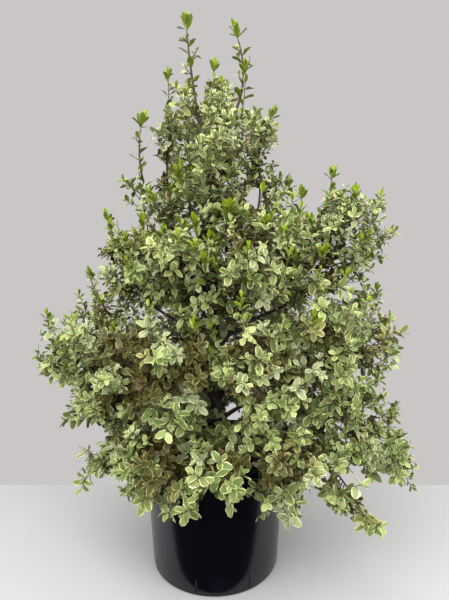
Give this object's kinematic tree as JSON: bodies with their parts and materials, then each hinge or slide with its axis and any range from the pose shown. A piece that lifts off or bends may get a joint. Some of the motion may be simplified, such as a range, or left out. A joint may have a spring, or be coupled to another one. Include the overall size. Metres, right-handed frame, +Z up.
{
  "type": "potted elizabeth pittosporum",
  "caption": "Young variegated pittosporum shrub in a black nursery pot: a slim trunk, spreading boughs and masses of small cream-edged evergreen leaves.",
  "frame": {"origin": "middle of the flat underside of the pot, where it meets the ground", "axes": "+Z up along the trunk, -Y towards the front of the plant, +X to the right as seen from the front"},
  "size_m": [0.7379, 0.5955, 1.0379],
  "materials": {
    "black_plastic": "smooth black injection-moulded plastic with a soft gloss",
    "bark_mix": "moist dark composted bark chips",
    "dark_bark": "thin dark brown bark, nearly black on the young twigs",
    "foliage": "small wavy grey-green leaves with cream edges, with a waxy sheen, and lime green at the shoot tips"
  },
  "bodies": {
    "root": {"pot": "black_plastic", "potting_mix": "bark_mix", "trunk": "dark_bark", "bough_skirt_front_left": "dark_bark", "bough_skirt_front": "dark_bark", "bough_skirt_front_right": "dark_bark", "bough_skirt_right_front": "dark_bark", "bough_skirt_right": "dark_bark", "bough_skirt_right_back": "dark_bark", "bough_skirt_back": "dark_bark", "bough_skirt_left_back": "dark_bark", "bough_skirt_left": "dark_bark", "bough_skirt_left_front": "dark_bark", "bough_middle_front_left": "dark_bark", "bough_middle_front_right": "dark_bark", "bough_middle_right_front": "dark_bark", "bough_middle_right": "dark_bark", "bough_middle_right_back": "dark_bark", "bough_middle_left_back": "dark_bark", "bough_middle_left": "dark_bark", "bough_middle_left_front": "dark_bark", "bough_high_right": "dark_bark", "bough_high_right_back": "dark_bark", "bough_high_left_back": "dark_bark", "bough_high_left": "dark_bark", "bough_crown_left": "dark_bark", "bough_crown_right": "dark_bark", "bough_leader_right": "dark_bark", "bough_shoot_left": "dark_bark", "foliage_skirt_front_left": "foliage", "foliage_skirt_front": "foliage", "foliage_skirt_front_right": "foliage", "foliage_skirt_right_front": "foliage", "foliage_skirt_right": "foliage", "foliage_skirt_right_back": "foliage", "foliage_skirt_back": "foliage", "foliage_skirt_left_back": "foliage", "foliage_skirt_left": "foliage", "foliage_skirt_left_front": "foliage", "foliage_middle_front_left": "foliage", "foliage_middle_front_right": "foliage", "foliage_middle_right_front": "foliage", "foliage_middle_right": "foliage", "foliage_middle_right_back": "foliage", "foliage_middle_left_back": "foliage", "foliage_middle_left": "foliage", "foliage_middle_left_front": "foliage", "foliage_high_front_left": "foliage", "foliage_high_front_right": "foliage", "foliage_high_right": "foliage", "foliage_high_right_back": "foliage", "foliage_high_left_back": "foliage", "foliage_high_left": "foliage", "foliage_crown_left": "foliage", "foliage_crown_front": "foliage", "foliage_crown_right": "foliage", "foliage_crown_back": "foliage", "foliage_leader_right": "foliage", "foliage_shoot_left": "foliage", "foliage_leader_left": "foliage"}
  },
  "joints": []
}
